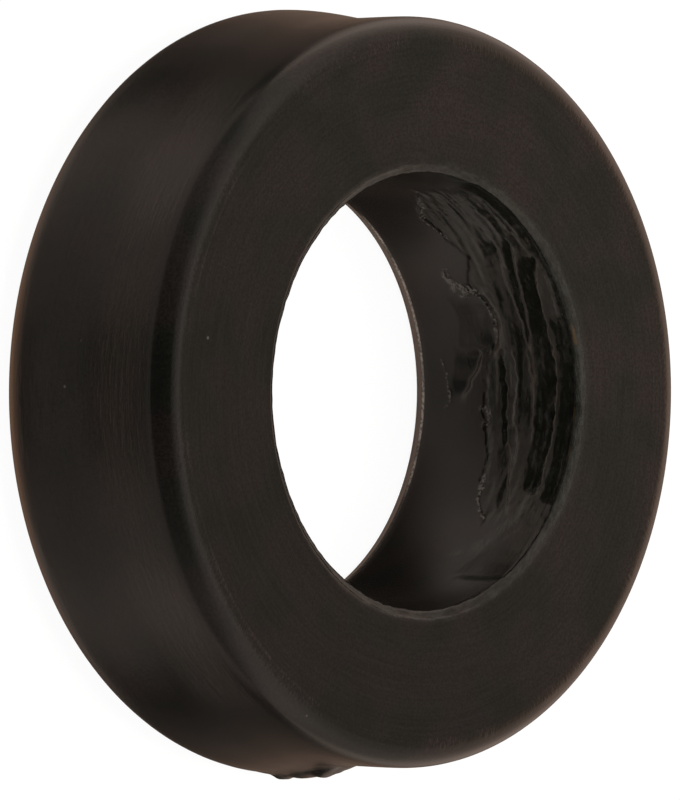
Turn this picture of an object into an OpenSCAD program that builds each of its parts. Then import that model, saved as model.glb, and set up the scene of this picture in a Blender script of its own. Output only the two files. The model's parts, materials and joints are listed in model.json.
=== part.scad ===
// Tension rod washer: a short, thick plastic ring, moulded in one piece.
// The axis is +Z. The ring lies on its back face, and its front face looks up.

/* [Ring] */
// Bore that the rod passes through, diameter
bore_d = 6.35; // [5:0.05:8]
// Front rim of the outer wall, diameter
rim_d = 10.85; // [10:0.05:14]
// Thickness, from the back face to the front face
thickness = 3.3; // [2.8:0.05:5]

/* [Outer wall] */
// Rounding of the front rim, radius
rim_round = 0.37; // [0.05:0.01:0.5]
// How far the wall is drawn in at its waist, on the radius
waist_draw = 0.015; // [0:0.005:0.1]
// Distance of the waist from the front face
waist_from_front = 1.4; // [0.9:0.05:1.8]
// How far the wall swells past the front rim, on the radius
swell = 0.12; // [0:0.01:0.3]
// Rounding of the back rim, radius
back_round = 0.55; // [0.05:0.01:0.7]

/* [Bore edges] */
// Rounding of the bore's front edge, radius
front_edge_round = 0.19; // [0.05:0.01:0.3]
// Rounding of the bore's back edge, radius
back_edge_round = 0.17; // [0.05:0.01:0.3]

/* [Torn bore wall] */
// Depth of the tears in the bore wall
tear_bite = 0.1; // [0.02:0.01:0.14]
// Depth of the long groove under the bore's front edge
groove_bite = 0.07; // [0.02:0.01:0.14]
// Distance of the long groove's back edge from the front face
groove_back = 0.5; // [0.4:0.02:0.56]
// Width of the long groove
groove_width = 0.28; // [0.1:0.02:0.3]

/* [Flash] */
// How far the largest crumb of flash stands out past the widest part of the wall
flash_out = 0.08; // [0.02:0.01:0.12]
// Length of the largest crumb, along the axis
flash_long = 0.55; // [0.2:0.05:0.7]
// Distance of the largest crumb from the front face
flash_from_front = 2.05; // [1.6:0.05:2.2]

/* [Hidden] */
bore_r = bore_d / 2;
rim_r = rim_d / 2;
bulge_r = rim_r + swell;
round_steps = 12;
wall_steps = 8;
// A cutter starts this far inside the open bore, so that no skin is left on it
cutter_lap = 0.2;
// A bite is deepest at this share of its height, and has this share of its depth left at its front
bite_crest = 0.3;
bite_fade = 0.35;
// A crumb's block reaches this far inwards, and is this share as wide as it is long
crumb_root = 0.6;
crumb_width = 0.7;
$fn = 128;

// Points of a rounded corner, turning from one angle to the other about its centre [radius, height]
function corner(centre, r, from, to) =
    [for (i = [0 : round_steps])
        let (a = from + (to - from) * i / round_steps)
        centre + r * [cos(a), sin(a)]];

// Points of a soft S-curve that leaves one point and reaches the next with no slope
function s_curve(start, end) =
    [for (i = [1 : wall_steps - 1])
        let (u = i / wall_steps)
        [start.x + (end.x - start.x) * (1 - cos(180 * u)) / 2, start.y + (end.y - start.y) * u]];

// Half section of the ring, as [radius, height] from the bore's front edge round to its back edge
function ring_section() =
    let (
        rim = [rim_r, thickness - rim_round],
        waist = [rim_r - waist_draw, thickness - waist_from_front],
        bulge = [bulge_r, back_round]
    )
    concat(
        corner([bore_r + front_edge_round, thickness - front_edge_round], front_edge_round, 180, 90),
        corner(rim - [rim_round, 0], rim_round, 90, 0),
        s_curve(rim, waist),
        [waist],
        s_curve(waist, bulge),
        corner(bulge - [back_round, 0], back_round, 0, -90),
        corner([bore_r + back_edge_round, back_edge_round], back_edge_round, 270, 180)
    );

// One long bite in the bore wall: from and to are angles about the axis, back is the distance of its
// deep end from the front face, wide is its height and bite is its depth, which fades to the front
module bite(from, to, back, wide, bite) {
    low = thickness - back;
    rotate([0, 0, from])
        rotate_extrude(angle = to - from)
            polygon([
                [bore_r - cutter_lap, low],
                [bore_r + bite, low + wide * bite_crest],
                [bore_r + bite * bite_fade, low + wide],
                [bore_r - cutter_lap, low + wide]
            ]);
}

// The layered tears across the bore wall and the long groove under its front edge
module torn_wall() {
    bite(from = 136, to = 156, back = 1.85, wide = 0.35, bite = tear_bite * 0.5);
    bite(from = 119, to = 134.5, back = 2.05, wide = 0.50, bite = tear_bite * 0.7);
    bite(from = 104, to = 117.5, back = 1.72, wide = 0.36, bite = tear_bite);
    bite(from = 77, to = 102.5, back = 1.80, wide = 0.42, bite = tear_bite * 0.9);
    bite(from = 55, to = 75.5, back = 1.66, wide = 0.36, bite = tear_bite * 0.7);
    bite(from = 68, to = 132, back = 1.24, wide = 0.30, bite = tear_bite);
    bite(from = 60, to = 124, back = 0.88, wide = 0.28, bite = tear_bite * 0.8);
    bite(from = 50, to = 150, back = groove_back, wide = groove_width, bite = groove_bite);
}

// One crumb of flash: a small tilted block sunk in the wall, at an angle about the axis. out is how
// far it stands out past the widest part of the wall, which may be less than nothing
module crumb(at, from_front, long, out, tilt) {
    rotate([0, 0, at])
        translate([bulge_r + out - crumb_root, -long / 2, thickness - from_front - long / 2])
            rotate([tilt, 0, 0])
                cube([crumb_root, long * crumb_width, long]);
}

// Torn crumbs of flash, side by side across the swell of the wall
module flash() {
    back = flash_from_front + 0.35;
    front = flash_from_front - 0.35;
    crumb(at = 0, from_front = flash_from_front, long = flash_long, out = flash_out, tilt = 14);
    crumb(at = -3, from_front = back, long = flash_long * 0.6, out = flash_out / 2, tilt = -9);
    crumb(at = 4, from_front = front, long = flash_long * 0.5, out = 0, tilt = 20);
}

module washer() {
    color("#2b2725")
        difference() {
            union() {
                rotate_extrude() polygon(ring_section());
                flash();
            }
            torn_wall();
        }
}

washer();
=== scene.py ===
"""Tension rod washer: a short black plastic ring with a torn bore, on a pale floor under soft light.

Run as a script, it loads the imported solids, models the ring in place of the plain one and sets the stage.
The ring's axis is +Z. It lies on its back face, and the torn side of its bore is at +Y.
"""

import json
import math
from types import SimpleNamespace

import bmesh
import bpy
import numpy as np
from bpy.props import FloatProperty, FloatVectorProperty, IntProperty, PointerProperty
from bpy.types import Operator, Panel, PropertyGroup
from mathutils import Matrix, Vector


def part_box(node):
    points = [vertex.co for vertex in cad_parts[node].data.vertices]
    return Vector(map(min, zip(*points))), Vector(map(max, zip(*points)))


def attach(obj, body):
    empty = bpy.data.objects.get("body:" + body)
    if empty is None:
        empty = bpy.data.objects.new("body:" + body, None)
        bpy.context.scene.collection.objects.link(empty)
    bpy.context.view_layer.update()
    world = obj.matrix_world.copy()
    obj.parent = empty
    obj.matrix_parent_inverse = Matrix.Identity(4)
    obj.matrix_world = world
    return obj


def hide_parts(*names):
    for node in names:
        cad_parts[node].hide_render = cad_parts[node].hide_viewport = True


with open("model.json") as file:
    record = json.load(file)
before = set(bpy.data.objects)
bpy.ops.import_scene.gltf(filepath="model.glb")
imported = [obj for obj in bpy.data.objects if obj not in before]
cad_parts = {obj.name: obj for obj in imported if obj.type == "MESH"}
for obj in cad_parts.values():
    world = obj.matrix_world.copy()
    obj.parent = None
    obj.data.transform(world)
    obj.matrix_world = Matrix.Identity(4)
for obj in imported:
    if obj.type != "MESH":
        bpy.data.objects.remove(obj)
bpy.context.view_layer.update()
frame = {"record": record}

bl_info = {
    "name": "Tension Rod Washer",
    "version": (1, 0, 0),
    "blender": (4, 5, 0),
    "location": "3D View > Sidebar > Washer",
    "description": "Models a moulded washer with a torn bore, and the studio that shows it",
    "category": "Add Mesh",
}

MM = 0.001
MICRON = 0.001 * MM
# Two places this near to each other count as one
SLACK = 0.002 * MM
NODE = "washer"
RING_LOW, RING_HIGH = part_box(NODE)
BORE_MOUNT = next(m for m in frame["record"]["mounts"] if m["name"] == "bore")


# ---------------------------------------------------------------- sizes and colours


def length(name, description, default):
    """A size in metres."""
    return FloatProperty(
        name=name, description=description, default=default, min=0.0,
        unit="LENGTH", subtype="DISTANCE", precision=6,
    )


def colour(name, description, default):
    """A colour in linear light."""
    return FloatVectorProperty(
        name=name, description=description, default=default, min=0.0, max=1.0, size=3, subtype="COLOR"
    )


class WasherSizes(PropertyGroup):
    """Sizes of the ring's section."""

    bore_radius: length("Bore radius", "Radius of the open bore", BORE_MOUNT["dims"]["r_mm"] * MM)
    bulge_radius: length("Bulge radius", "Largest radius of the outer wall", (RING_HIGH.y - RING_LOW.y) / 2)
    thickness: length("Thickness", "From the back face to the front face", RING_HIGH.z - RING_LOW.z)
    swell: length("Swell", "How far the bulge stands out past the front rim", 0.12 * MM)
    waist_draw: length("Waist draw", "How far the wall is drawn in at its waist", 0.015 * MM)
    waist_from_front: length("Waist place", "Distance of the waist from the front face", 1.4 * MM)
    rim_round: length("Rim rounding", "Radius of the front rim's rounding", 0.37 * MM)
    back_round: length("Back rounding", "Radius of the back rim's rounding", 0.55 * MM)
    front_edge_round: length("Front edge rounding", "Radius at the bore's front edge", 0.19 * MM)
    back_edge_round: length("Back edge rounding", "Radius at the bore's back edge", 0.17 * MM)
    segments: IntProperty(name="Segments", description="Faces around the ring", default=360, min=24)


class WasherWear(PropertyGroup):
    """Sizes of the worn edges and the flash, and the heights of the sheen and the glint that are painted at
    the bore's back edge.
    """

    edge_unevenness: FloatProperty(
        name="Edge unevenness", description="Share by which the worn edge's width varies",
        default=0.10, min=0.0, subtype="FACTOR",
    )
    flash_out: length("Flash", "How far a full crumb of flash stands out of the wall", 0.12 * MM)
    # height of the pale band at the bore's back edge, which is a painted sheen
    painted_sheen_height: length("Scraped band", "Height of the scraped band at the bore's back edge", 0.195 * MM)
    # height of the glint that is painted in the bore as a highlight
    painted_glint_height: length("Glint height", "Height of the bright burr in the bore", 0.225 * MM)


class WasherColours(PropertyGroup):
    """Colours of the plastic and of the stage."""

    plastic: colour("Plastic", "Black plastic", (0.0066, 0.0074, 0.0056))
    warm_plastic: colour("Warm plastic", "Patches in the black plastic", (0.0092, 0.0073, 0.0062))
    stripped: colour("Stripped plastic", "Where the bore wall's skin is torn away", (0.0078, 0.0084, 0.0060))
    bruised: colour("Bruised plastic", "Where the plastic was torn or rubbed pale", (0.17, 0.150, 0.132))
    amber: colour("Amber plastic", "Where the worn edge is thin and lets light in", (0.060, 0.037, 0.014))
    # the brown cast is a warm glow painted along the outline's edges
    warm_rim_glow: colour("Brown cast", "Along the outer edges", (0.024, 0.010, 0.004))
    # the light streaks between the torn layers are painted highlights
    layered: colour("Layered plastic", "Streaks between the torn layers", (0.062, 0.064, 0.056))
    # the pale scraped band is a painted sheen along the bore's back edge
    painted_sheen: colour("Scraped plastic", "Along the bore's back edge", (0.34, 0.25, 0.20))
    # the bright burr is a painted glint, a highlight painted along the bore's back edge
    painted_glint: colour("Glint", "Bright burr on the bore's back edge", (0.85, 0.74, 0.64))
    dust: colour("Dust", "Specks of dust", (0.12, 0.11, 0.10))
    floor: colour("Floor", "Pale floor", (0.9, 0.9, 0.9))


class WasherStudio(PropertyGroup):
    """The camera and the lights."""

    camera_tilt: FloatProperty(
        name="Camera tilt", description="Angle between the ring's axis and the line of sight",
        default=math.radians(46.29), subtype="ANGLE",
    )
    camera_roll: FloatProperty(
        name="Camera roll", description="Turn of the camera about its line of sight",
        default=math.radians(-0.26), subtype="ANGLE",
    )
    camera_distance: length("Camera distance", "From the camera to the front face's plane", 271.25 * MM)
    centre_right: length("Centre right", "Front face's centre, right of the view's centre", 1.2464 * MM)
    centre_up: length("Centre up", "Front face's centre, above the view's centre", 0.1113 * MM)
    lens: FloatProperty(name="Lens", description="Focal length in millimetres", default=847.4, min=1.0)
    key_power: FloatProperty(
        name="Key power", description="Power of the large lamp overhead", default=0.45, min=0.0, unit="POWER"
    )
    fill_power: FloatProperty(
        name="Fill power", description="Power of each lamp at the sides", default=0.12, min=0.0, unit="POWER"
    )


# ---------------------------------------------------------------- modelling by hand


# Width of the margin at the edges of the flat faces, which keeps their shading flat
FACE_MARGIN = 0.02 * MM
# A flat face has a larger area than this, in square metres, and the faces of the roundings are smaller
SMALL_AREA = 1e-9
# Rows of faces up the outer wall, and up the bore wall below and above the height where the tears start
WALL_ROWS = 26
LOW_ROWS = 6
BORE_ROWS = 64
TORN_LOW = 0.55 * MM
# Angles between which the bore wall is torn, the angle over which the tears fade in and out, and the
# stretch of the outer wall that carries flash
TORN_FROM, TORN_TO = 26.0, 166.0
TORN_FADE = 8.0
FLASH_SPAN = 8.0
FLASH_LOW, FLASH_HIGH = 0.1 * MM, 1.95 * MM


def only(obj):
    """Makes one object the active and only selected one."""
    bpy.ops.object.select_all(action="DESELECT")
    obj.select_set(True)
    bpy.context.view_layer.objects.active = obj


def pick(obj, kind, test):
    """In edit mode, selects the faces or edges that pass a test."""
    bpy.context.tool_settings.mesh_select_mode = (False, kind == "EDGE", kind == "FACE")
    bpy.ops.mesh.select_all(action="DESELECT")
    mesh = bmesh.from_edit_mesh(obj.data)
    found = [e for e in (mesh.edges if kind == "EDGE" else mesh.faces) if test(e)]
    if not found:
        raise RuntimeError("nothing was found to select")
    for element in found:
        element.select_set(True)
    bmesh.update_edit_mesh(obj.data)


def radius_of(point):
    """Distance from the axis."""
    return math.hypot(point.x, point.y)


def angle_of(point):
    """Angle about the axis in degrees, 0 along +X and 90 along +Y."""
    return math.degrees(math.atan2(point.y, point.x))


def lies_on(radius):
    """A test for the edges and faces that lie at one distance from the axis."""
    return lambda e: all(abs(radius_of(v.co) - radius) < SLACK for v in e.verts)


def on_circle(radius, height):
    """A test for the edges of one circle about the axis."""
    at_radius = lies_on(radius)
    return lambda e: at_radius(e) and all(abs(v.co.z - height) < SLACK for v in e.verts)


def upright_on(radius):
    """A test for the upright edges of a straight wall about the axis."""
    at_radius = lies_on(radius)
    return lambda e: at_radius(e) and abs(e.verts[0].co.z - e.verts[1].co.z) > SLACK


def round_circle(obj, radius, height, rounding, steps):
    """Rounds one circular edge."""
    pick(obj, "EDGE", on_circle(radius, height))
    bpy.ops.mesh.bevel(offset=rounding, segments=steps, profile=0.5, affect="EDGES", clamp_overlap=False)


def turned_blank(sizes):
    """The plain ring: a cylinder whose ends are inset and bridged into a bore, with its edges rounded."""
    rim = sizes.bulge_radius - sizes.swell
    top = sizes.thickness
    bpy.ops.object.select_all(action="DESELECT")
    bpy.ops.mesh.primitive_cylinder_add(
        vertices=sizes.segments, radius=rim, depth=top, location=(0, 0, top / 2), end_fill_type="NGON"
    )
    ring = bpy.context.object
    bpy.ops.object.transform_apply(location=True, rotation=True, scale=True)
    bpy.ops.object.mode_set(mode="EDIT")
    # an inset is measured at the middle of a side, which lies nearer to the axis than the corners do
    nearer = math.cos(math.pi / sizes.segments)
    pick(ring, "FACE", lambda f: abs(f.normal.z) > 0.9)
    bpy.ops.mesh.inset(thickness=(rim - sizes.bore_radius) * nearer, depth=0)
    bpy.ops.mesh.delete(type="FACE")
    pick(ring, "EDGE", lambda e: e.is_boundary)
    bpy.ops.mesh.bridge_edge_loops()
    round_circle(ring, rim, top, sizes.rim_round, steps=12)
    round_circle(ring, rim, 0, sizes.back_round, steps=12)
    round_circle(ring, sizes.bore_radius, top, sizes.front_edge_round, steps=10)
    round_circle(ring, sizes.bore_radius, 0, sizes.back_edge_round, steps=8)
    pick(ring, "FACE", lambda f: abs(f.normal.z) > 0.9999 and f.calc_area() > SMALL_AREA)
    bpy.ops.mesh.inset(thickness=FACE_MARGIN, depth=0)
    return ring


def cut_rows(ring, sizes):
    """Cuts the straight walls into rows: coarse ones, and fine ones where the bore is torn."""
    pick(ring, "EDGE", upright_on(sizes.bulge_radius - sizes.swell))
    bpy.ops.mesh.subdivide(number_cuts=WALL_ROWS - 1)
    pick(ring, "FACE", lies_on(sizes.bore_radius))
    bpy.ops.mesh.bisect(plane_co=(0, 0, TORN_LOW), plane_no=(0, 0, 1))
    on_bore = upright_on(sizes.bore_radius)
    pick(ring, "EDGE", lambda e: on_bore(e) and max(v.co.z for v in e.verts) > TORN_LOW + SLACK)
    bpy.ops.mesh.subdivide(number_cuts=BORE_ROWS - 1)
    pick(ring, "EDGE", lambda e: on_bore(e) and max(v.co.z for v in e.verts) < TORN_LOW + SLACK)
    bpy.ops.mesh.subdivide(number_cuts=LOW_ROWS - 1)


def refine(ring, sizes):
    """Cuts the faces finer where the torn layers and the crumbs of flash are modelled."""
    def torn(face):
        centre = face.calc_center_median()
        return (
            abs(radius_of(centre) - sizes.bore_radius) < ON_WALL
            and TORN_FROM < angle_of(centre) < TORN_TO
            and centre.z > TORN_LOW
        )

    def flashed(face):
        centre = face.calc_center_median()
        return (
            radius_of(centre) > sizes.bore_radius + MM
            and abs(angle_of(centre)) < FLASH_SPAN
            and FLASH_LOW < centre.z < FLASH_HIGH
        )

    pick(ring, "FACE", torn)
    bpy.ops.mesh.subdivide(number_cuts=1)
    pick(ring, "FACE", flashed)
    bpy.ops.mesh.subdivide(number_cuts=4)


# ---------------------------------------------------------------- places of the wear


# How near to the bore's radius a place is when it lies on the wall, and when it can have a cast of its own
ON_WALL = 0.01 * MM
CAST_REACH = 0.12 * MM

# In the lines of points below, a point is an angle about the axis in degrees, and a depth under the front
# face in mm.

# The torn layers of the bore wall. Each has a nose, which is a line of points. Behind its nose the wall is
# torn away by the height, and comes back to the plain wall over the run. The values are the height, the run
# at the line's first and last point, and the width over which the nose is rounded, all in mm.
TORN_LAYERS = (
    # the long ledge, and the groove in front of it
    (0.090, 0.42, 0.42, 0.05, (
        (127, 0.26), (123, 0.40), (119, 0.49), (112, 0.54), (105, 0.52), (99, 0.48), (90, 0.47), (83, 0.49),
        (77, 0.50), (70, 0.53), (64, 0.52))),
    (0.085, 0.34, 0.34, 0.05, ((109, 0.13), (100, 0.08), (92, 0.08), (84, 0.09), (70, 0.10), (60, 0.10))),
    (0.085, 0.32, 1.35, 0.05, ((64, 0.10), (56, 0.12), (50, 0.12), (44, 0.13), (38, 0.14), (33, 0.14))),
    (0.080, 0.40, 0.25, 0.05, ((161, 0.14), (150, 0.07), (140, 0.05), (131, 0.03), (126, 0.03))),
    (0.035, 0.25, 0.20, 0.05, ((156, 0.52), (150, 0.50), (144, 0.52), (137, 0.46), (131, 0.37), (127, 0.29))),
    # short layers between the ledge and the skin's edge
    (0.055, 0.18, 0.20, 0.05, ((133, 0.60), (124, 0.78), (116, 0.85), (108, 0.88), (102, 0.92))),
    (0.050, 0.35, 0.30, 0.05, (
        (132, 0.90), (121, 1.07), (114, 1.04), (106, 0.99), (98, 1.00), (88, 0.94), (78, 0.86))),
    (0.060, 0.09, 0.09, 0.04, ((99, 1.46), (90, 1.44), (84, 1.43), (76, 1.34))),
    (0.025, 0.20, 0.20, 0.06, ((101, 1.27), (92, 1.23), (84, 1.29), (79, 1.18), (72, 1.12))),
    (0.040, 0.25, 0.25, 0.07, ((76, 1.30), (70, 1.22), (64, 1.10), (58, 0.98))),
    # smooth hollows behind the skin's edge
    (0.100, 0.75, 0.80, 0.22, ((116, 1.70), (111, 1.58), (105, 1.62), (100, 1.72))),
    (0.100, 0.55, 0.30, 0.16, ((101, 1.96), (97, 2.03), (93, 2.20), (89, 2.35))),
)
# The edge of the skin that is gone in front of it
SKIN_EDGE = (
    (156, 1.45), (152, 1.62), (145, 1.92), (139, 1.80), (134, 1.76), (128, 1.56), (122, 1.75), (118, 1.85),
    (115, 1.66), (110, 1.56), (104, 1.62), (98, 1.76), (92, 1.84), (86, 1.90), (80, 1.80), (74, 1.68),
    (66, 1.65), (58, 1.50), (54, 1.30),
)
# Flakes and rubbed places: paleness, half width in mm, height in mm, and a line of points
FLAKES = (
    (0.75, 0.040, 0.025, ((152, 1.58), (147, 1.76), (142, 1.95), (140, 1.88), (136, 1.77), (134, 1.75))),
    (0.35, 0.020, 0.010, ((134, 1.75), (131, 1.62), (127, 1.54))),
    (1.00, 0.125, 0.040, ((121.5, 2.15), (119.5, 2.05), (118, 1.93))),
    (0.80, 0.050, 0.025, ((118, 1.93), (117.5, 1.75), (115, 1.68), (111, 1.58), (108, 1.57), (104, 1.62))),
    (0.60, 0.030, 0.015, ((101, 1.97), (101.7, 1.85), (101, 1.72))),
    (0.80, 0.030, 0.015, ((99, 2.67), (96, 2.62), (92, 2.57), (88, 2.53), (86, 2.62))),
    (0.40, 0.020, 0.010, ((124, 2.45), (123.5, 2.40))),
    (0.35, 0.060, 0.004, ((98, 1.72), (92, 1.78), (87, 1.80), (81, 1.72), (75, 1.66), (66, 1.64))),
    (0.70, 0.035, 0.020, ((86, 1.90), (85, 1.72), (83, 1.72), (81, 1.82))),
    (0.90, 0.045, 0.025, ((70, 1.63), (65, 1.61), (61, 1.58), (58, 1.50), (55, 1.32))),
    (0.25, 0.050, 0.004, ((98, 1.29), (92, 1.24), (84, 1.29), (79, 1.19))),
    (0.50, 0.020, 0.012, ((72, 0.85), (70, 0.80))),
    (0.60, 0.025, 0.015, ((160, 0.72), (158, 0.70))),
    (0.80, 0.025, 0.015, ((161, 0.20), (158, 0.17))),
    (0.60, 0.020, 0.010, ((147, 0.08), (143, 0.10))),
)
# Soft light streaks between the torn layers, painted as highlights: lightness, half width in mm, and a line
# of points
HIGHLIGHT_STREAKS = (
    (0.60, 0.035, (
        (127, 0.25), (119.5, 0.48), (112.6, 0.54), (105.4, 0.52), (99, 0.48), (90.5, 0.47), (83.5, 0.49),
        (77.4, 0.50), (70, 0.53))),
    (0.25, 0.020, ((155, 0.48), (150, 0.50), (144, 0.52), (137, 0.46), (131, 0.37))),
    (0.30, 0.022, ((134, 0.90), (130, 0.92), (121, 1.07), (114.5, 1.04), (106, 0.99), (96, 0.97))),
    (0.30, 0.022, ((130, 0.66), (124, 0.78), (116.5, 0.85), (108, 0.88))),
    (0.20, 0.030, ((96, 0.80), (88, 0.74), (80, 0.72), (70, 0.74))),
    (0.55, 0.075, ((100, 1.33), (92, 1.25), (83.5, 1.27), (79, 1.20), (72, 1.12))),
    (0.40, 0.060, ((104, 1.60), (97.5, 1.70), (87, 1.78), (81, 1.70), (75, 1.62), (66, 1.60))),
    (0.25, 0.050, ((118, 1.45), (110, 1.34), (103, 1.36))),
    (0.40, 0.120, ((69, 0.44), (63.6, 0.52), (54.6, 0.72), (45.4, 1.05), (42, 1.50))),
    (0.22, 0.040, ((64.5, 0.38), (51.3, 0.50), (45, 0.85))),
    (0.20, 0.040, ((44, 0.85), (40.5, 1.30), (36, 1.72))),
    (0.45, 0.030, ((122, 0.18), (112, 0.22), (104, 0.20), (98, 0.24))),
)
# Where the worn front edge has an amber cast: half width in mm, and a line of points
AMBER = (
    (0.006, ((107, 0.05), (103, 0.06))),
    (0.008, ((86, 0.10), (78, 0.09), (71, 0.12))),
)
# Wear of the bore's front edge: angle, and the edge's width, its depth and the height of its burr in mm
EDGE_WEAR = (
    (-180, 0.22, 0.12, 0.020), (-150, 0.15, 0.11, 0.045), (-120, 0.09, 0.09, 0.055), (-90, 0.07, 0.08, 0.035),
    (-60, 0.09, 0.09, 0.055), (-25, 0.16, 0.12, 0.060), (0, 0.21, 0.13, 0.060), (35, 0.22, 0.14, 0.040),
    (55, 0.26, 0.15, 0.015), (75, 0.32, 0.16, 0.0), (115, 0.33, 0.16, 0.0), (140, 0.24, 0.15, 0.010),
    (160, 0.23, 0.14, 0.015), (180, 0.22, 0.12, 0.020),
)
# Crumbs of flash: angle, depth in mm, half width in degrees, half length in mm, share of the full height
FLASH_CRUMBS = (
    (0.0, 2.40, 7.0, 0.95, 0.30),
    (0.3, 2.26, 4.2, 0.44, 0.50),
    (0.7, 1.86, 3.4, 0.34, 0.60),
    (-0.8, 2.74, 2.6, 0.18, 0.45),
)


# ---------------------------------------------------------------- shaping by formula


def smooth(x, low, high):
    """0 below low, 1 above high, with a soft step between them."""
    t = np.clip((x - low) / (high - low), 0.0, 1.0)
    return t * t * (3 - 2 * t)


def ease(u):
    """0 below 0, 1 above 1, with a cosine between them."""
    return (1 - np.cos(np.pi * np.clip(u, 0, 1))) / 2


def bell(x, centre, width):
    """1 at the centre, falling away on both sides."""
    return np.exp(-(((x - centre) / width) ** 2))


def lumps(u, v, seed):
    """Smooth noise from -1 to 1 over a plane, one lump to each unit."""
    size = 64
    table = np.random.default_rng(seed).uniform(-1, 1, (size, size))
    iu, iv = np.floor(u).astype(int), np.floor(v).astype(int)
    fu, fv = u - iu, v - iv
    fu, fv = fu * fu * (3 - 2 * fu), fv * fv * (3 - 2 * fv)
    a, b = table[iu % size, iv % size], table[(iu + 1) % size, iv % size]
    c, d = table[iu % size, (iv + 1) % size], table[(iu + 1) % size, (iv + 1) % size]
    return (a * (1 - fu) + b * fu) * (1 - fv) + (c * (1 - fu) + d * fu) * fv


def grain(angle, depth, around, down, seed):
    """Smooth noise from -1 to 1 on a wall, with this many lumps to a degree and to a unit of depth."""
    return lumps(angle * around, depth * down, seed)


def line(angle, points):
    """Value of a line of points at each angle."""
    at, value = zip(*sorted(points))
    return np.interp(angle, at, value)


def stroke_distance(angle, depth, points, radius):
    """Distance in mm from each place on the bore wall to a line of points."""
    scale = math.radians(1) * radius
    spots = [Vector((a * scale, d)) for a, d in points]
    s = angle * scale
    nearest = np.full_like(angle, np.inf)
    for start, end in zip(spots, spots[1:]):
        way = end - start
        along = np.clip(((s - start.x) * way.x + (depth - start.y) * way.y) / way.length_squared, 0, 1)
        nearest = np.minimum(nearest, np.hypot(s - start.x - along * way.x, depth - start.y - along * way.y))
    return nearest


def between(angle, first, last, fade):
    """1 between two angles, fading to 0 at both."""
    low, high = sorted((first, last))
    begun = smooth(angle, low - fade / 2, low + fade / 2)
    ended = smooth(angle, high - fade / 2, high + fade / 2)
    return begun * (1 - ended)


def wall_swell(height, sizes):
    """How far the outer wall stands out past the front rim at each height."""
    rim_low = sizes.thickness - sizes.rim_round
    waist = sizes.thickness - sizes.waist_from_front
    draw = ease((rim_low - height) / (rim_low - waist))
    flare = ease((waist - height) / (waist - sizes.back_round))
    return -sizes.waist_draw * draw + (sizes.swell + sizes.waist_draw) * flare


def flash_lump(angle, depth):
    """Height of the flash at each place as a share of its full height, and how pale it is."""
    lump, pale = np.zeros_like(angle), np.zeros_like(angle)
    for at, deep, half_width, half_length, share in FLASH_CRUMBS:
        away = np.hypot((angle - at) / half_width, (depth - deep) / half_length)
        crumb = smooth(1 - away + 0.10 * grain(angle, depth, 0.6, 4, seed=11), 0, 0.75)
        crumb *= 0.92 + 0.10 * grain(angle, depth, 0.8, 6, seed=12)
        lump += share * crumb
        pale = np.maximum(pale, 0.1 * crumb)
    return lump, pale


def worn_edge(angle, across, along, sizes, wear):
    """Radius and depth on the worn front edge of the bore.

    Across and along are the place on the plain rounding, each as a share of its radius. The worn edge is
    sharper than the rounding, wide on the torn side, and has a burr and a crease on the other side.
    """
    width, fall, burr = (line(angle, [(a, values[i]) for a, *values in EDGE_WEAR]) * MM for i in range(3))
    ragged = grain(angle, along, 0.35, 2, seed=30) + 0.7 * grain(angle, along, 1.1, 4, seed=31)
    lip = bell(along, 0.6, 0.3) * (0.8 + 0.2 * grain(angle, along, 0.5, 1, seed=32))
    crease = 0.6 * bell(along, 0.3, 0.12)
    radius = sizes.bore_radius + across * width * (1 + wear.edge_unevenness * ragged) - burr * (lip - crease)
    return radius, along * fall


def torn_away(angle, depth, rough, wander):
    """How far the layers and the missing skin take the bore wall away in mm, and how bare it is."""
    cut = np.zeros_like(angle)
    for index, (height, first_run, last_run, round_nose, points) in enumerate(TORN_LAYERS):
        first, last = points[0][0], points[-1][0]
        nose = line(angle, points) + wander * (1 if index % 2 else -1)
        run = first_run + (last_run - first_run) * np.clip((angle - first) / (last - first), 0, 1)
        behind = depth - nose
        slope = np.clip(1 - behind / (0.8 * run), 0, 1) * smooth(behind, -round_nose, 0.02)
        unlike = 1 + 0.25 * grain(angle, depth, 0.25, 3, seed=20 + index)
        layer = height * run / max(first_run, last_run) * slope * unlike * between(angle, first, last, 5)
        cut = np.maximum(cut, layer)

    skin_edge = line(angle, SKIN_EDGE) + wander * 1.5
    bare = smooth(skin_edge - depth, -0.015, 0.02) * between(angle, SKIN_EDGE[0][0], SKIN_EDGE[-1][0], 6)
    slanted = lumps(angle * 0.10 + depth * 0.4, depth * 11 + angle * 0.02, seed=9)
    cut += bare * (0.018 + 0.010 * slanted + 0.003 * rough)
    return cut, bare


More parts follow.
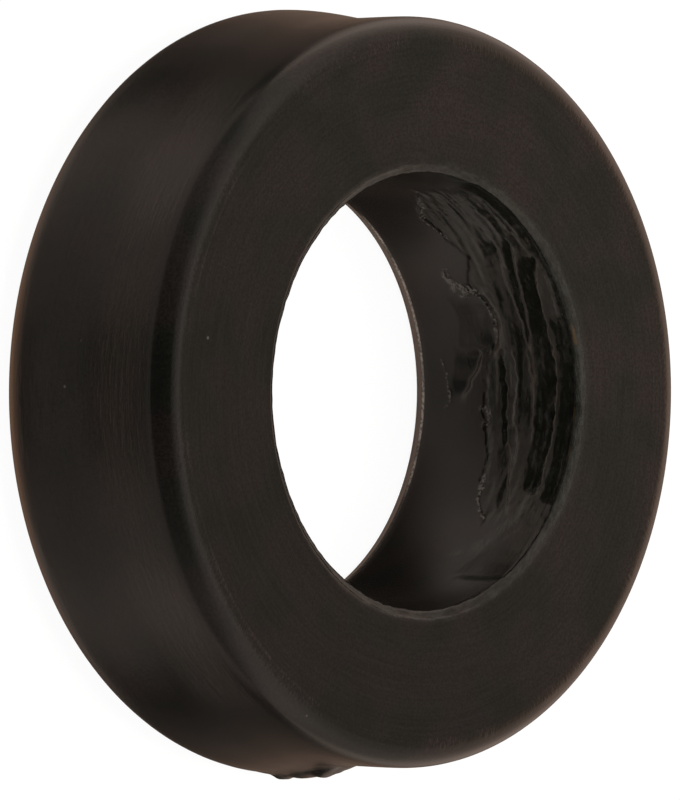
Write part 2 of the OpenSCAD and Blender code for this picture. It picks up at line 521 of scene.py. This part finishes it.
def torn_wall(angle, depth, radius):
    """How far the bore wall is torn away in mm, and how pale, amber and bare it is, and where light streaks
    are painted on it as highlights.
    """
    rough = grain(angle, depth, 0.9, 14, seed=3) + 0.5 * grain(angle, depth, 2.3, 31, seed=4)
    # how far the noses and the skin's edge wander from their lines, in mm
    wander = 0.022 * grain(angle, depth, 0.45, 0, seed=5) + 0.014 * grain(angle, depth, 1.3, 0, seed=6)
    cut, bare = torn_away(angle, depth, rough, wander)

    pale, highlight_streak, amber = (np.zeros_like(angle) for _ in range(3))
    ragged = 0.8 * grain(angle, depth, 0.45, 9, seed=7) + 0.5 * grain(angle, depth, 1.3, 23, seed=8)
    for paleness, half_width, height, points in FLAKES:
        away = stroke_distance(angle, depth, points, radius) / half_width
        chip = smooth(1.0 - away + ragged, 0.0, 0.7)
        cut -= 0.5 * height * chip * (0.6 + 0.4 * rough)
        pale = np.maximum(pale, paleness * smooth(1.25 - 0.8 * away + 0.7 * ragged, 0.0, 1.0))
    ragged = 0.35 * grain(angle, depth, 0.3, 9, seed=40) + 0.25 * grain(angle, depth, 1.1, 25, seed=41)
    for lightness, half_width, points in HIGHLIGHT_STREAKS:
        away = stroke_distance(angle, depth, points, radius) / half_width
        highlight_streak = np.maximum(highlight_streak, lightness * smooth(1.1 - 0.8 * away + ragged, 0.0, 0.9))
    for half_width, points in AMBER:
        away = stroke_distance(angle, depth, points, radius) / half_width
        amber = np.maximum(amber, 1 - smooth(away, 0.6, 1.4))
    bare = np.clip(np.maximum(bare, cut / 0.04), 0, 1)
    return cut, np.clip(pale, 0, 1), amber, bare, highlight_streak


def wear_in(ring, sizes, wear):
    """Gives the wall its swell, and shapes the torn bore, its worn edge and the crumbs of flash."""
    mesh = ring.data
    points = np.empty(len(mesh.vertices) * 3)
    mesh.vertices.foreach_get("co", points)
    points = points.reshape(-1, 3)
    radius = np.hypot(points[:, 0], points[:, 1])
    angle = np.degrees(np.arctan2(points[:, 1], points[:, 0]))
    height = points[:, 2]
    depth = sizes.thickness - height

    outer = radius > (sizes.bulge_radius + sizes.bore_radius) / 2
    lump, flash_pale = flash_lump(angle, depth / MM)
    new = np.where(outer, radius + wall_swell(height, sizes) + wear.flash_out * lump, radius)

    across = (radius - sizes.bore_radius) / sizes.front_edge_round
    along = depth / sizes.front_edge_round
    # the rounding of the bore's front edge and the face's margin beside it, with a little slack
    near_edge = (along < 1.001) & (across < 1.01 + FACE_MARGIN / sizes.front_edge_round)
    worn_radius, worn_depth = worn_edge(angle, across, along, sizes, wear)
    new = np.where(near_edge, worn_radius, new)
    points[:, 2] = np.where(near_edge, sizes.thickness - worn_depth, height)

    inner = (radius < sizes.bore_radius + ON_WALL) & (height > TORN_LOW)
    cut, torn_pale, amber, bare, highlight_streak = torn_wall(angle, depth / MM, sizes.bore_radius / MM)
    ends = between(angle, TORN_FROM + TORN_FADE / 2, TORN_TO - TORN_FADE / 2, TORN_FADE)
    new = np.where(inner, new + cut * ends * MM, new)

    points[:, :2] *= (new / radius)[:, None]
    mesh.vertices.foreach_set("co", points.ravel())
    inside = radius < sizes.bore_radius + CAST_REACH
    casts = {
        "bruised": np.where(outer, flash_pale, np.where(inner, torn_pale * ends, 0.0)),
        "amber": amber * inside,
        "bare": bare * inside * ends,
        "layered": highlight_streak * inside * ends,
    }
    for name, values in casts.items():
        mesh.attributes.new(name, "FLOAT", "POINT").data.foreach_set("value", values.astype(np.float32))
    mesh.update()


# ---------------------------------------------------------------- materials


class Nodes:
    """A short hand for building node trees."""

    def __init__(self, tree):
        self.tree = tree
        tree.nodes.clear()

    def add(self, kind, inputs=(), **settings):
        """Adds a node. An input is a value or another node's output."""
        node = self.tree.nodes.new(kind)
        for key, value in settings.items():
            setattr(node, key, value)
        for key, value in dict(inputs).items():
            if isinstance(value, bpy.types.NodeSocket):
                self.tree.links.new(value, node.inputs[key])
            else:
                node.inputs[key].default_value = value
        return node

    def math(self, operation, *values, clamp=False):
        """One step of arithmetic."""
        node = self.add("ShaderNodeMath", dict(enumerate(values)), operation=operation, use_clamp=clamp)
        return node.outputs[0]

    def times(self, first, *others):
        """Multiplies any number of values."""
        for other in others:
            first = self.math("MULTIPLY", first, other)
        return first

    def plus(self, first, *others):
        """Adds up any number of values."""
        for other in others:
            first = self.math("ADD", first, other)
        return first

    def step(self, value, low, high, start=0.0, end=1.0, soft=True):
        """A step from start to end while the value goes from low to high."""
        return self.add(
            "ShaderNodeMapRange", {0: value, 1: low, 2: high, 3: start, 4: end},
            interpolation_type="SMOOTHSTEP" if soft else "LINEAR",
        ).outputs[0]

    def noise(self, vector, scale, detail):
        """Smooth noise around 0.5, with this many lumps to a unit of the vector."""
        return self.add(
            "ShaderNodeTexNoise", {"Vector": vector, "Scale": scale, "Detail": detail, "Roughness": 0.6}
        ).outputs[0]

    def drawn_out(self, turn, first, second, around, across, detail):
        """Noise that is drawn out: this many lumps to a radian, and to a metre along two other ways."""
        ways = (self.times(turn, around), self.times(first, across), self.times(second, across))
        return self.noise(self.add("ShaderNodeCombineXYZ", dict(enumerate(ways))).outputs[0], 1.0, detail)

    def mix(self, share, first, second):
        """Mixes two colours."""
        return self.add(
            "ShaderNodeMix", {0: share, 6: first, 7: second}, data_type="RGBA", clamp_factor=True
        ).outputs[2]

    def blend(self, share, first, second):
        """Mixes two shaders."""
        return self.add("ShaderNodeMixShader", {0: share, 1: first, 2: second}).outputs[0]

    def emission(self, colour, strength=1.0):
        """Light of one colour."""
        return self.add("ShaderNodeEmission", {"Color": rgba(colour), "Strength": strength}).outputs[0]

    def attribute(self, name):
        """A value that the mesh holds at its points."""
        return self.add("ShaderNodeAttribute", attribute_name=name, attribute_type="GEOMETRY").outputs["Fac"]

    def ramp(self, value, stops):
        """A colour ramp over a full turn, with stops as (angle, level, warmth)."""
        node = self.add("ShaderNodeValToRGB", {0: value})
        elements = node.color_ramp.elements
        elements.remove(elements[1])
        for index, (angle, level, warmth) in enumerate(stops):
            element = elements.new(angle / 360 + 0.5) if index else elements[0]
            element.color = rgba(level * NEUTRAL.lerp(WARM, warmth))
        return node.outputs[0]


def rgba(value):
    """An opaque colour."""
    return (*value, 1.0)


def place_values(n):
    """The place on the object, its three parts, and its distance from the axis."""
    place = n.add("ShaderNodeTexCoord").outputs["Object"]
    x, y, z = n.add("ShaderNodeSeparateXYZ", {0: place}).outputs
    radius = n.math("SQRT", n.plus(n.times(x, x), n.times(y, y)))
    return SimpleNamespace(place=place, x=x, y=y, z=z, radius=radius)


# Scales of the plastic's mottling, of its fine grain and of the dust, in lumps to a metre
MOTTLING, FINE_GRAIN, DUST_CELLS = 900.0, 24000.0, 1500.0
# Noises that are drawn out round the ring: lumps to a radian, lumps to a metre the other ways, and detail
BRUSHING = (3.0, 24000.0, 2.0)
LAYERING = (16.0, 14000.0, 3.0)
TICKING = (90.0, 9000.0, 1.0)


def plastic_patterns(n, at):
    """The noises that the plastic is made of, and the marks that its mesh holds."""
    turn = n.math("ARCTAN2", at.y, at.x)
    mottled = n.noise(at.place, MOTTLING, 1.0)
    fine = n.noise(at.place, FINE_GRAIN, 2.0)
    bruise = n.attribute("bruised")
    # a bruise is broken up into flecks, which run together where it is strongest
    edge = n.math("SUBTRACT", 0.82, n.times(bruise, 0.44))
    flecks = n.step(fine, edge, n.plus(edge, 0.14), soft=False)
    ticks = n.drawn_out(turn, at.z, at.radius, *TICKING)
    return SimpleNamespace(
        mottled=mottled,
        fine=fine,
        brushed=n.drawn_out(turn, at.radius, at.z, *BRUSHING),
        layers=n.drawn_out(turn, at.z, at.radius, *LAYERING),
        ticks=n.times(ticks, n.step(mottled, 0.42, 0.56, 0.5, 1.3)),
        broken=n.math("MULTIPLY", flecks, n.step(bruise, 0.0, 0.3), clamp=True),
        amber=n.attribute("amber"),
        bare=n.attribute("bare"),
        highlight_streak=n.attribute("layered"),
    )


def ring_zones(n, at, sizes, wear):
    """How far each place lies in the ring's zones, from 0 to 1."""
    rim, bore, top = sizes.bulge_radius - sizes.swell, sizes.bore_radius, sizes.thickness
    # the back rim, and the front rim on the far side, where a warm glow is painted along the outline
    low = n.times(n.step(at.radius, rim - 0.725 * MM, rim - 0.425 * MM), n.step(at.z, 0.55 * MM, 0.2 * MM))
    far = n.times(
        n.step(at.radius, rim - 0.525 * MM, rim + 0.075 * MM),
        n.step(at.z, top - 0.6 * MM, top - 0.3 * MM),
        n.step(at.y, -1.0 * MM, 3.0 * MM),
    )
    # the bore's back edge: a band with a painted sheen, and a painted glint above it that fades out at one
    # end and grows faint at the other
    inner = n.math("LESS_THAN", at.radius, bore + 0.185 * MM)
    sheen_top = wear.painted_sheen_height
    from_glint_line = n.math("ABSOLUTE", n.math("SUBTRACT", at.z, wear.painted_glint_height))
    shown = n.times(n.step(at.x, -2.7 * MM, -2.2 * MM), n.step(at.x, 1.6 * MM, 1.1 * MM, 0.1, 1.0))
    # the bore's front edge
    lip = n.times(
        n.step(at.radius, bore + 0.385 * MM, bore + 0.285 * MM),
        n.step(at.z, top - 0.002 * MM, top - 0.015 * MM),
        n.step(at.z, top - 0.25 * MM, top - 0.15 * MM),
    )
    # the inner side of the rounded front rim
    rim_side = n.times(
        n.step(at.radius, rim - 0.475 * MM, rim - 0.405 * MM),
        n.step(at.radius, rim - 0.205 * MM, rim - 0.305 * MM),
        n.step(at.z, top - 0.25 * MM, top - 0.15 * MM),
    )
    # the outer wall below its front rim
    wall = n.times(
        n.step(at.radius, rim - 0.225 * MM, rim - 0.025 * MM),
        n.step(at.z, top - 0.3 * MM, top - 0.4 * MM),
    )
    return SimpleNamespace(
        # painted warm glow on the outer edges
        painted_rim_glow=n.math("MAXIMUM", low, far),
        # painted sheen on the band at the bore's back edge
        painted_sheen=n.times(inner, n.step(at.z, sheen_top + 0.01 * MM, sheen_top - 0.01 * MM)),
        # painted glint above that band
        burr=n.times(n.step(from_glint_line, 0.036 * MM, 0.012 * MM), inner, shown),
        # painted sheen that fades out from the band up to 0.4 mm
        sheen_shoulder=n.times(inner, n.step(at.z, 0.40 * MM, 0.20 * MM)),
        lip=lip,
        rim_side=rim_side,
        wall=wall,
    )


def dust_specks(n, at):
    """A few small specks, one in every fifth cell of a cell pattern."""
    speck = n.add("ShaderNodeTexVoronoi", {"Vector": at.place, "Scale": DUST_CELLS}, feature="F1")
    chosen = n.add("ShaderNodeSeparateColor", {0: speck.outputs["Color"]}).outputs[0]
    return n.times(n.step(speck.outputs["Distance"], 0.05, 0.02), n.step(chosen, 0.80, 0.82))


def plastic_colour(n, at, seen, zones, colours):
    """Two close tints of plastic under all that the wear, the edges and the dust add to them, with painted
    light: shade and light falling off across the ring, a warm glow on the outer edges, a sheen and a glint at
    the bore's back edge, and highlight streaks in the bore.
    """
    plastic = n.mix(n.step(seen.mottled, 0.4, 0.6), rgba(colours.plastic), rgba(colours.warm_plastic))
    base = n.mix(seen.bare, plastic, rgba(colours.stripped))
    # painted shade: lighter towards +Y and -X, darker towards -Y and +X, on top of the random tone
    tone_and_painted_falloff = n.times(
        n.step(seen.mottled, 0.3, 0.7, 0.85, 1.15), n.step(seen.fine, 0.35, 0.65, 0.75, 1.3),
        n.step(n.math("SUBTRACT", at.y, at.x), -6.0 * MM, 6.0 * MM, 0.80, 1.35),
    )
    base = n.add("ShaderNodeVectorMath", {0: base, 3: tone_and_painted_falloff}, operation="SCALE").outputs[0]
    # a glint painted along the bore's back edge, broken up by noise
    painted_glint = n.times(
        zones.burr, n.step(seen.fine, 0.35, 0.6, 0.3, 1.0), n.step(seen.mottled, 0.38, 0.5, 0.35, 1.0)
    )
    # painted highlights: light streaks between the torn layers and on the bore's front edge
    painted_streaks = n.math(
        "ADD", n.times(seen.highlight_streak, n.step(seen.layers, 0.35, 0.65, 0.2, 1.1)),
        n.times(seen.bare, n.step(seen.layers, 0.50, 0.75, 0.0, 0.22)), clamp=True,
    )
    painted_streaks = n.math("MAXIMUM", painted_streaks, n.times(zones.lip, n.step(seen.layers, 0.42, 0.65, 0.0, 0.2)))
    # the warm edge glow, the sheen, the glint, the sheen's faint shoulder and the highlight streaks are
    # painted light; the bruises and dust are marks, and amber is where the edge lets light in
    for share, colour in (
        (zones.painted_rim_glow, colours.warm_rim_glow),
        (zones.painted_sheen, colours.painted_sheen),
        (painted_glint, colours.painted_glint),
        (n.times(zones.sheen_shoulder, 0.11), colours.painted_sheen),
        (painted_streaks, colours.layered),
        (seen.broken, colours.bruised),
        (seen.amber, colours.amber),
        (n.times(dust_specks(n, at), 0.6), colours.dust),
    ):
        base = n.mix(share, base, rgba(colour))
    return base


def plastic_height(n, seen, zones):
    """Fine relief in metres: brushing and grain all over, and more where the ring is cut, torn or worn."""
    torn = n.math("MAXIMUM", seen.bare, seen.broken)
    rugged = n.plus(
        n.times(torn, 3 * MICRON), n.times(zones.lip, 6 * MICRON), n.times(zones.wall, 5 * MICRON)
    )
    return n.plus(
        n.times(seen.brushed, 1.6 * MICRON),
        n.times(seen.fine, 1.2 * MICRON),
        n.times(zones.rim_side, seen.ticks, 6 * MICRON),
        n.times(rugged, seen.layers),
        n.times(seen.highlight_streak, seen.fine, 12 * MICRON),
    )


def plastic_material(sizes, wear, colours):
    """Black moulded plastic: brushed round the wall, matt where it is torn and pale where it is bruised."""
    material = bpy.data.materials.new("black_plastic")
    material.use_nodes = True
    n = Nodes(material.node_tree)
    at = place_values(n)
    seen = plastic_patterns(n, at)
    zones = ring_zones(n, at, sizes, wear)
    height = plastic_height(n, seen, zones)
    shader = n.add("ShaderNodeBsdfPrincipled", {
        "Base Color": plastic_colour(n, at, seen, zones, colours),
        "Roughness": n.plus(n.step(seen.brushed, 0.3, 0.7, 0.20, 0.26), n.times(seen.broken, 0.3)),
        "Normal": n.add("ShaderNodeBump", {"Strength": 1.0, "Distance": 1.0, "Height": height}).outputs[0],
        "Specular IOR Level": 0.5,
    })
    n.add("ShaderNodeOutputMaterial", {0: shader.outputs[0]})
    return material


# ---------------------------------------------------------------- floor and room


# Brightness of the floor as the camera sees it: its own light, and its share of the lamps' light
FLOOR_GLOW, FLOOR_SHADE = 0.95, 0.1
# Light that the floor under the bore throws back on the torn side
FLOOR_BOUNCE = (0.42, 0.37, 0.33)

# Tints of the room at warmth 0 and 1
NEUTRAL, WARM = Vector((1.0, 0.95, 0.91)), Vector((1.0, 0.80, 0.69))
# The room that is mirrored in the object, as (angle, level, warmth) round a band from straight below, up the
# far side, overhead and down the near side. Angles are in degrees from overhead, towards the camera's side.
# The middle is the band's centre line, the shoulders lie on both sides of it, and left and right farther out.
ROOM_MIDDLE = (
    (-180, 0.66, 2.4), (-170, 0.54, 2.4), (-160, 0.36, 2.2), (-150, 0.20, 1.6), (-140, 0.13, 1.6),
    (-133, 0.26, 1.9), (-125, 0.24, 1.5), (-118, 0.30, 1.2), (-105, 0.45, 1.4), (-90, 0.66, 1.5),
    (-72, 0.80, 1.5), (-59, 0.60, 1.3), (-52, 0.27, 1), (-46, 0.18, 1), (-37, 0.37, 0.9), (-28, 0.70, 0.8),
    (-15, 0.72, 0.7), (-5, 0.52, 0.7), (5, 0.30, 0.7), (12, 0.12, 0.7), (19, 0.02, 0.5), (80, 0.01, 0.5),
    (105, 0.04, 0.6), (109, 0.09, 0.6), (112, 0.37, 0.7), (120, 0.36, 0.7), (130, 0.10, 0.5),
    (137, 0.10, 0.8), (144, 0.46, 1.6), (157, 0.56, 2.0), (170, 0.60, 2.4), (180, 0.66, 2.4),
)
ROOM_SHOULDER = (
    (-180, 0.50, 1.1), (-170, 0.42, 1.1), (-162, 0.26, 1.1), (-154, 0.06, 1.1), (-139, 0.11, 1.6),
    (-134, 0.24, 1.9), (-128, 0.34, 1.5), (-118, 0.66, 1), (-105, 0.85, 1), (-90, 0.78, 1), (-75, 0.60, 1),
    (-60, 0.48, 1), (-46, 0.36, 1), (-38, 0.42, 0.9), (-27, 0.70, 0.8), (-15, 0.70, 0.7), (-3, 0.52, 0.7),
    (8, 0.38, 0.7), (20, 0.20, 0.7), (35, 0.10, 0.7), (95, 0.09, 0.7), (106, 0.14, 0.7), (111, 0.30, 0.7),
    (122, 0.38, 0.8), (134, 0.36, 0.9), (146, 0.30, 1), (153, 0.36, 1), (160, 0.58, 1.1), (170, 0.58, 1.1),
    (180, 0.50, 1.1),
)
ROOM_LEFT = (
    (-180, 0.20, 1), (-170, 0.07, 1), (-160, 0.06, 1), (-150, 0.09, 1), (-141, 0.20, 1.2), (-130, 0.52, 1.2),
    (-118, 0.90, 1), (-105, 1.22, 1), (-92, 1.24, 1), (-75, 0.94, 1), (-60, 0.76, 1), (-40, 0.62, 0.9),
    (-25, 0.68, 0.8), (-8, 0.57, 0.7), (10, 0.45, 0.7), (30, 0.29, 0.7), (60, 0.21, 0.7), (112, 0.23, 0.7),
    (122, 0.38, 0.8), (135, 0.52, 0.9), (148, 0.51, 1), (160, 0.46, 1), (170, 0.38, 1), (180, 0.20, 1),
)
ROOM_RIGHT = (
    (-180, 0.12, 1), (-170, 0.05, 1), (-158, 0.06, 1), (-146, 0.12, 1), (-136, 0.24, 1.2), (-126, 0.50, 1.2),
    (-114, 0.76, 1), (-100, 0.70, 1), (-80, 0.54, 1), (-60, 0.54, 1), (-45, 0.60, 0.9), (-28, 0.78, 0.8),
    (-14, 0.74, 0.7), (-3, 0.64, 0.7), (8, 0.46, 0.7), (25, 0.33, 0.7), (40, 0.26, 0.7), (60, 0.23, 0.7),
    (105, 0.24, 0.7), (115, 0.28, 0.7), (125, 0.42, 0.8), (137, 0.50, 0.9), (148, 0.49, 1), (160, 0.40, 1),
    (170, 0.30, 1), (180, 0.12, 1),
)


def mirrored_floor(n, at, sizes):
    """What the gloss mirrors of the floor: the room shows through it, but for shade and light in the bore."""
    # the floor under the open bore, and a little way in under the ring
    inside = n.math("LESS_THAN", at.radius, sizes.bore_radius + 0.225 * MM)
    # shade beside the bore's far wall and at both of its flanks
    flanks = n.plus(n.step(at.x, 0.3 * MM, 1.7 * MM), n.step(at.x, -0.6 * MM, -2.0 * MM, 0.0, 0.5))
    beside = n.step(at.radius, sizes.bore_radius - 0.195 * MM, sizes.bore_radius - 0.035 * MM, 0.0, 0.7)
    shade = n.math("ADD", n.times(flanks, n.step(at.y, 0.4 * MM, 2.2 * MM)), beside, clamp=True)
    # a little light in the middle of the far side
    bounce = n.times(
        n.step(at.y, 1.5 * MM, 2.1 * MM, 0.0, 0.75), inside,
        n.step(n.math("ABSOLUTE", at.x), 0.3 * MM, 1.3 * MM, 1.0, 0.0),
    )
    clear = n.add("ShaderNodeBsdfTransparent").outputs[0]
    lit = n.blend(bounce, clear, n.emission(FLOOR_BOUNCE))
    return n.blend(n.times(shade, inside, 0.8), lit, n.emission((0, 0, 0)))


def floor_material(sizes, colours):
    """A pale floor that the camera sees as white, apart from the soft shadow on it."""
    material = bpy.data.materials.new("pale_floor")
    material.use_nodes = True
    n = Nodes(material.node_tree)
    at = place_values(n)
    ray = n.add("ShaderNodeLightPath")
    lit = n.add("ShaderNodeBsdfDiffuse", {"Color": rgba(colours.floor)}).outputs[0]
    dim = n.add("ShaderNodeBsdfDiffuse", {"Color": rgba((FLOOR_SHADE,) * 3)}).outputs[0]
    white = n.add("ShaderNodeAddShader", {0: n.emission((1, 1, 1), FLOOR_GLOW), 1: dim}).outputs[0]
    other = n.blend(ray.outputs["Is Glossy Ray"], lit, mirrored_floor(n, at, sizes))
    n.add("ShaderNodeOutputMaterial", {0: n.blend(ray.outputs["Is Camera Ray"], other, white)})
    return material


def room_light():
    """A white backdrop for the camera, and a dim room with soft boxes in it for everything else."""
    world = bpy.data.worlds.new("studio")
    bpy.context.scene.world = world
    world.use_nodes = True
    world.cycles.sampling_method = "NONE"
    n = Nodes(world.node_tree)
    way = n.add("ShaderNodeTexCoord").outputs["Generated"]
    x, y, z = n.add("ShaderNodeSeparateXYZ", {0: way}).outputs
    over = n.math("ARCTAN2", n.times(y, -1.0), z)
    turn = n.plus(n.math("DIVIDE", over, math.tau), 0.5)
    middle, shoulder, left, right = (
        n.ramp(turn, stops) for stops in (ROOM_MIDDLE, ROOM_SHOULDER, ROOM_LEFT, ROOM_RIGHT)
    )
    aside = n.math("ABSOLUTE", x)
    side = n.mix(n.step(x, -0.1, 0.1), left, right)
    room = n.mix(n.step(aside, 0.5, 0.8), n.mix(n.step(aside, 0.12, 0.48), middle, shoulder), side)
    lit = n.add("ShaderNodeBackground", {0: room, 1: 1.0}).outputs[0]
    white = n.add("ShaderNodeBackground", {0: rgba((1, 1, 1)), 1: 1.0}).outputs[0]
    seen = n.add("ShaderNodeLightPath").outputs["Is Camera Ray"]
    n.add("ShaderNodeOutputWorld", {0: n.blend(seen, lit, white)})


# ---------------------------------------------------------------- operators


# Each lamp's name, place and width in metres, and the setting that holds its power
LAMPS = (
    ("key", (0.0, 0.05, 0.25), 0.16, "key_power"),
    ("fill_left", (-0.2, -0.12, 0.12), 0.12, "fill_power"),
    ("fill_right", (0.2, -0.12, 0.12), 0.12, "fill_power"),
)
# Width of the floor, and how far in front of the camera its view starts, in metres
FLOOR_WIDTH = 0.6
CLIP_START = 0.01


class WASHER_OT_ring(Operator):
    """Models the moulded ring with its torn bore, in place of the plain solid"""

    bl_idname = "washer.ring"
    bl_label = "Washer Ring"

    def execute(self, context):
        sizes, wear = context.scene.washer_sizes, context.scene.washer_wear
        ring = turned_blank(sizes)
        cut_rows(ring, sizes)
        refine(ring, sizes)
        bpy.ops.mesh.select_all(action="SELECT")
        bpy.ops.mesh.normals_make_consistent(inside=False)
        bpy.ops.object.mode_set(mode="OBJECT")
        ring.name = ring.data.name = "washer_ring"
        wear_in(ring, sizes, wear)
        only(ring)
        bpy.ops.object.shade_smooth()
        ring.data.materials.append(plastic_material(sizes, wear, context.scene.washer_colours))
        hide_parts(NODE)
        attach(ring, "root")
        return {"FINISHED"}


def add_lamp(name, place, width, power, target):
    """Adds a square soft lamp that lights the object and isn't mirrored in it."""
    data = bpy.data.lights.new(name, "AREA")
    data.size = width
    data.energy = power
    lamp = bpy.data.objects.new(name, data)
    bpy.context.collection.objects.link(lamp)
    lamp.location = place
    lamp.rotation_euler = (target - Vector(place)).to_track_quat("-Z", "Y").to_euler()
    lamp.visible_glossy = False
    lamp.visible_camera = False


def add_camera(studio, centre):
    """Adds the camera, which looks down on the front face and has -X at the top of its view."""
    tilt = studio.camera_tilt
    sight = Vector((0, math.sin(tilt), -math.cos(tilt)))
    spin = Matrix.Rotation(studio.camera_roll, 3, sight)
    right = spin @ Vector((0, math.cos(tilt), math.sin(tilt)))
    up = spin @ Vector((-1, 0, 0))
    data = bpy.data.cameras.new("camera")
    data.lens = studio.lens
    data.clip_start = CLIP_START
    camera = bpy.data.objects.new("camera", data)
    bpy.context.collection.objects.link(camera)
    place = centre - right * studio.centre_right - up * studio.centre_up - sight * studio.camera_distance
    turn = Matrix((right, up, -sight)).transposed()
    camera.matrix_world = Matrix.Translation(place) @ turn.to_4x4()
    return camera


class WASHER_OT_stage(Operator):
    """Sets the pale floor, the lights and the camera"""

    bl_idname = "washer.stage"
    bl_label = "Washer Stage"

    def execute(self, context):
        scene = context.scene
        sizes, studio, colours = scene.washer_sizes, scene.washer_studio, scene.washer_colours
        bpy.ops.object.select_all(action="DESELECT")
        bpy.ops.mesh.primitive_plane_add(size=FLOOR_WIDTH, location=(0, 0, 0))
        floor = context.object
        floor.name = floor.data.name = "stage_floor"
        floor.data.materials.append(floor_material(sizes, colours))

        centre = Vector((0, 0, sizes.thickness))
        for name, place, width, power in LAMPS:
            add_lamp(name, place, width, getattr(studio, power), centre)
        room_light()
        scene.camera = add_camera(studio, centre)
        scene.view_settings.view_transform = "Standard"
        return {"FINISHED"}


class WASHER_PT_panel(Panel):
    """Lists the washer's sizes, colours and tools"""

    bl_label = "Tension Rod Washer"
    bl_idname = "WASHER_PT_panel"
    bl_space_type = "VIEW_3D"
    bl_region_type = "UI"
    bl_category = "Washer"

    def draw(self, context):
        for group in GROUPS:
            box = self.layout.box()
            values = getattr(context.scene, group)
            for name in values.__annotations__:
                box.prop(values, name)
        self.layout.operator(WASHER_OT_ring.bl_idname)
        self.layout.operator(WASHER_OT_stage.bl_idname)


GROUPS = {
    "washer_sizes": WasherSizes,
    "washer_wear": WasherWear,
    "washer_colours": WasherColours,
    "washer_studio": WasherStudio,
}
CLASSES = (*GROUPS.values(), WASHER_OT_ring, WASHER_OT_stage, WASHER_PT_panel)


def register():
    for cls in CLASSES:
        bpy.utils.register_class(cls)
    for name, cls in GROUPS.items():
        setattr(bpy.types.Scene, name, PointerProperty(type=cls))


def unregister():
    for name in GROUPS:
        delattr(bpy.types.Scene, name)
    for cls in reversed(CLASSES):
        bpy.utils.unregister_class(cls)


def main():
    register()
    bpy.ops.washer.ring()
    bpy.ops.washer.stage()


if __name__ == "__main__":
    main()
